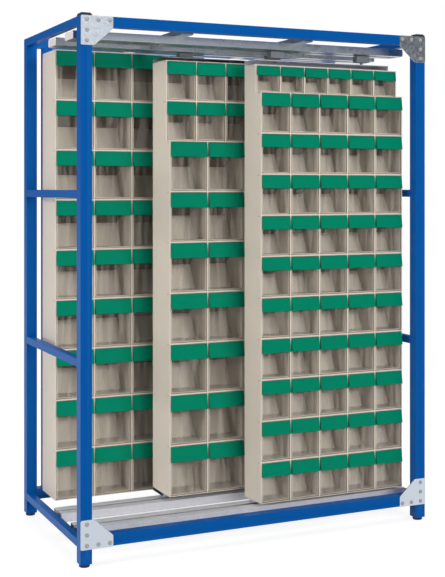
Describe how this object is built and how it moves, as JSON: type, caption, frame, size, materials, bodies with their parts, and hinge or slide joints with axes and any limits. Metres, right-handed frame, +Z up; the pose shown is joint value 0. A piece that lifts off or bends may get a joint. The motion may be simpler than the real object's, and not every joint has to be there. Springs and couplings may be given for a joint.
{
  "type": "sliding tilt-bin storage rack",
  "caption": "Free-standing steel rack with a fixed and two sliding panels of clear tilt-out bins with green front strips.",
  "frame": {"origin": "on the floor, under the middle of the frame", "axes": "+X to the user's right, -Y towards the user, +Z up"},
  "size_m": [1.35, 0.712, 1.826],
  "materials": {
    "blue_enamel": "blue stoved enamel, satin",
    "dark_plastic": "moulded, matt",
    "zinc_steel": "zinc-plated sheet",
    "dark_steel": "blackened",
    "ivory_plastic": "moulded, fine grain",
    "clear_plastic": "clear, moulded",
    "green_plastic": "moulded, satin"
  },
  "bodies": {
    "root": {"front_posts": "blue_enamel", "rear_posts": "blue_enamel", "post_caps": "dark_plastic", "levelling_feet": "dark_plastic", "top_beams": "blue_enamel", "bottom_beams": "blue_enamel", "side_beams": "blue_enamel", "side_rungs": "blue_enamel", "gusset_plates": "blue_enamel", "frame_bolts": "zinc_steel", "rail_cross_members": "zinc_steel", "top_rails": "zinc_steel", "rail_end_plates": "ivory_plastic", "front_bottom_track": "zinc_steel", "middle_bottom_track": "zinc_steel", "rear_uprights": "blue_enamel", "rear_modules": "ivory_plastic", "rear_bins_covered": "clear_plastic", "rear_strips_covered": "green_plastic"},
    "middle_panel": {"middle_panel_frame": "zinc_steel", "middle_modules": "ivory_plastic", "middle_trolleys": "dark_steel", "middle_bins_covered": "clear_plastic", "middle_strips_covered": "green_plastic"},
    "middle_wheelset_left": {"middle_wheelset_left": "dark_steel"},
    "middle_wheelset_right": {"middle_wheelset_right": "dark_steel"},
    "front_panel": {"front_panel_frame": "zinc_steel", "front_modules": "ivory_plastic", "front_trolleys": "dark_steel"},
    "front_wheelset_left": {"front_wheelset_left": "dark_steel"},
    "front_wheelset_right": {"front_wheelset_right": "dark_steel"},
    "rear_row_1": {"rear_row_1": "clear_plastic"},
    "rear_row_2": {"rear_row_2": "clear_plastic"},
    "rear_row_3": {"rear_row_3": "clear_plastic"},
    "rear_row_4": {"rear_row_4": "clear_plastic"},
    "rear_row_5": {"rear_row_5": "clear_plastic"},
    "rear_row_6": {"rear_row_6": "clear_plastic"},
    "rear_row_7": {"rear_row_7": "clear_plastic"},
    "rear_row_8": {"rear_row_8": "clear_plastic"},
    "rear_row_9": {"rear_row_9": "clear_plastic"},
    "middle_row_1": {"middle_row_1": "clear_plastic"},
    "middle_row_2": {"middle_row_2": "clear_plastic"},
    "middle_row_3": {"middle_row_3": "clear_plastic"},
    "middle_row_4": {"middle_row_4": "clear_plastic"},
    "middle_row_5": {"middle_row_5": "clear_plastic"},
    "middle_row_6": {"middle_row_6": "clear_plastic"},
    "middle_row_7": {"middle_row_7": "clear_plastic"},
    "middle_row_8": {"middle_row_8": "clear_plastic"},
    "middle_row_9": {"middle_row_9": "clear_plastic"},
    "front_row_1": {"front_row_1": "clear_plastic"},
    "front_row_2": {"front_row_2": "clear_plastic"},
    "front_row_3": {"front_row_3": "clear_plastic"},
    "front_row_4": {"front_row_4": "clear_plastic"},
    "front_row_5": {"front_row_5": "clear_plastic"},
    "front_row_6": {"front_row_6": "clear_plastic"},
    "front_row_7": {"front_row_7": "clear_plastic"},
    "front_row_8": {"front_row_8": "clear_plastic"},
    "front_row_9": {"front_row_9": "clear_plastic"},
    "front_row_10": {"front_row_10": "clear_plastic"},
    "front_row_11": {"front_row_11": "clear_plastic"}
  },
  "joints": [
    {"name": "middle_panel_slide", "type": "slide", "parent": "root", "child": "middle_panel", "axis": [1, 0, 0], "range_m": [-0.375, 0.285]},
    {"name": "middle_wheelset_left_spin", "type": "hinge", "parent": "middle_panel", "child": "middle_wheelset_left", "pos_m": [-0.16, -0.0105, 1.7628], "axis": [0, 1, 0], "range_deg": [-2056, 1565]},
    {"name": "middle_wheelset_right_spin", "type": "hinge", "parent": "middle_panel", "child": "middle_wheelset_right", "pos_m": [0.205, -0.0105, 1.7628], "axis": [0, 1, 0], "range_deg": [-2056, 1565]},
    {"name": "front_panel_slide", "type": "slide", "parent": "root", "child": "front_panel", "axis": [-1, 0, 0], "range_m": [-0.005, 0.66]},
    {"name": "front_wheelset_left_spin", "type": "hinge", "parent": "front_panel", "child": "front_wheelset_left", "pos_m": [0.118, -0.211, 1.7628], "axis": [0, 1, 0], "range_deg": [-3611, 37]},
    {"name": "front_wheelset_right_spin", "type": "hinge", "parent": "front_panel", "child": "front_wheelset_right", "pos_m": [0.483, -0.211, 1.7628], "axis": [0, 1, 0], "range_deg": [-3611, 37]},
    {"name": "rear_row_1_tilt", "type": "hinge", "parent": "root", "child": "rear_row_1", "pos_m": [-0.46225, 0.1485, 1.5815], "axis": [1, 0, 0], "range_deg": [0, 45]},
    {"name": "rear_row_2_tilt", "type": "hinge", "parent": "root", "child": "rear_row_2", "pos_m": [-0.46225, 0.1485, 1.3965], "axis": [1, 0, 0], "range_deg": [0, 45]},
    {"name": "rear_row_3_tilt", "type": "hinge", "parent": "root", "child": "rear_row_3", "pos_m": [-0.46225, 0.1485, 1.2115], "axis": [1, 0, 0], "range_deg": [0, 45]},
    {"name": "rear_row_4_tilt", "type": "hinge", "parent": "root", "child": "rear_row_4", "pos_m": [-0.46225, 0.1485, 1.0265], "axis": [1, 0, 0], "range_deg": [0, 45]},
    {"name": "rear_row_5_tilt", "type": "hinge", "parent": "root", "child": "rear_row_5", "pos_m": [-0.46225, 0.1485, 0.8415], "axis": [1, 0, 0], "range_deg": [0, 45]},
    {"name": "rear_row_6_tilt", "type": "hinge", "parent": "root", "child": "rear_row_6", "pos_m": [-0.46225, 0.1485, 0.6565], "axis": [1, 0, 0], "range_deg": [0, 45]},
    {"name": "rear_row_7_tilt", "type": "hinge", "parent": "root", "child": "rear_row_7", "pos_m": [-0.46225, 0.1485, 0.4715], "axis": [1, 0, 0], "range_deg": [0, 45]},
    {"name": "rear_row_8_tilt", "type": "hinge", "parent": "root", "child": "rear_row_8", "pos_m": [-0.46225, 0.1485, 0.2865], "axis": [1, 0, 0], "range_deg": [0, 45]},
    {"name": "rear_row_9_tilt", "type": "hinge", "parent": "root", "child": "rear_row_9", "pos_m": [-0.46225, 0.1485, 0.1015], "axis": [1, 0, 0], "range_deg": [0, 45]},
    {"name": "middle_row_1_tilt", "type": "hinge", "parent": "middle_panel", "child": "middle_row_1", "pos_m": [-0.1341, -0.0555, 1.5758], "axis": [1, 0, 0], "range_deg": [0, 45]},
    {"name": "middle_row_2_tilt", "type": "hinge", "parent": "middle_panel", "child": "middle_row_2", "pos_m": [-0.1341, -0.0555, 1.4278], "axis": [1, 0, 0], "range_deg": [0, 45]},
    {"name": "middle_row_3_tilt", "type": "hinge", "parent": "middle_panel", "child": "middle_row_3", "pos_m": [-0.17888, -0.0905, 1.2428], "axis": [1, 0, 0], "range_deg": [0, 45]},
    {"name": "middle_row_4_tilt", "type": "hinge", "parent": "middle_panel", "child": "middle_row_4", "pos_m": [-0.17888, -0.0905, 1.0578], "axis": [1, 0, 0], "range_deg": [0, 45]},
    {"name": "middle_row_5_tilt", "type": "hinge", "parent": "middle_panel", "child": "middle_row_5", "pos_m": [-0.17888, -0.0905, 0.8728], "axis": [1, 0, 0], "range_deg": [0, 45]},
    {"name": "middle_row_6_tilt", "type": "hinge", "parent": "middle_panel", "child": "middle_row_6", "pos_m": [-0.17888, -0.0905, 0.6878], "axis": [1, 0, 0], "range_deg": [0, 45]},
    {"name": "middle_row_7_tilt", "type": "hinge", "parent": "middle_panel", "child": "middle_row_7", "pos_m": [-0.17888, -0.0905, 0.5028], "axis": [1, 0, 0], "range_deg": [0, 45]},
    {"name": "middle_row_8_tilt", "type": "hinge", "parent": "middle_panel", "child": "middle_row_8", "pos_m": [-0.17888, -0.0905, 0.3178], "axis": [1, 0, 0], "range_deg": [0, 45]},
    {"name": "middle_row_9_tilt", "type": "hinge", "parent": "middle_panel", "child": "middle_row_9", "pos_m": [-0.17888, -0.0905, 0.1328], "axis": [1, 0, 0], "range_deg": [0, 45]},
    {"name": "front_row_1_tilt", "type": "hinge", "parent": "front_panel", "child": "front_row_1", "pos_m": [0.323, -0.2315, 1.6015], "axis": [1, 0, 0], "range_deg": [0, 45]},
    {"name": "front_row_2_tilt", "type": "hinge", "parent": "front_panel", "child": "front_row_2", "pos_m": [0.323, -0.2735, 1.4535], "axis": [1, 0, 0], "range_deg": [0, 45]},
    {"name": "front_row_3_tilt", "type": "hinge", "parent": "front_panel", "child": "front_row_3", "pos_m": [0.323, -0.2735, 1.3055], "axis": [1, 0, 0], "range_deg": [0, 45]},
    {"name": "front_row_4_tilt", "type": "hinge", "parent": "front_panel", "child": "front_row_4", "pos_m": [0.323, -0.2735, 1.1575], "axis": [1, 0, 0], "range_deg": [0, 45]},
    {"name": "front_row_5_tilt", "type": "hinge", "parent": "front_panel", "child": "front_row_5", "pos_m": [0.323, -0.2735, 1.0095], "axis": [1, 0, 0], "range_deg": [0, 45]},
    {"name": "front_row_6_tilt", "type": "hinge", "parent": "front_panel", "child": "front_row_6", "pos_m": [0.323, -0.2735, 0.8615], "axis": [1, 0, 0], "range_deg": [0, 45]},
    {"name": "front_row_7_tilt", "type": "hinge", "parent": "front_panel", "child": "front_row_7", "pos_m": [0.323, -0.2735, 0.7135], "axis": [1, 0, 0], "range_deg": [0, 45]},
    {"name": "front_row_8_tilt", "type": "hinge", "parent": "front_panel", "child": "front_row_8", "pos_m": [0.323, -0.2735, 0.5655], "axis": [1, 0, 0], "range_deg": [0, 45]},
    {"name": "front_row_9_tilt", "type": "hinge", "parent": "front_panel", "child": "front_row_9", "pos_m": [0.323, -0.2735, 0.4175], "axis": [1, 0, 0], "range_deg": [0, 45]},
    {"name": "front_row_10_tilt", "type": "hinge", "parent": "front_panel", "child": "front_row_10", "pos_m": [0.323, -0.2735, 0.2695], "axis": [1, 0, 0], "range_deg": [0, 45]},
    {"name": "front_row_11_tilt", "type": "hinge", "parent": "front_panel", "child": "front_row_11", "pos_m": [0.323, -0.2735, 0.1215], "axis": [1, 0, 0], "range_deg": [0, 45]}
  ],
  "couplings": [
    {"joint": "middle_wheelset_left_spin", "follows": "middle_panel_slide", "rad_per_m": 95.238},
    {"joint": "middle_wheelset_right_spin", "follows": "middle_panel_slide", "rad_per_m": 95.238},
    {"joint": "front_wheelset_left_spin", "follows": "front_panel_slide", "rad_per_m": -95.238},
    {"joint": "front_wheelset_right_spin", "follows": "front_panel_slide", "rad_per_m": -95.238}
  ]
}
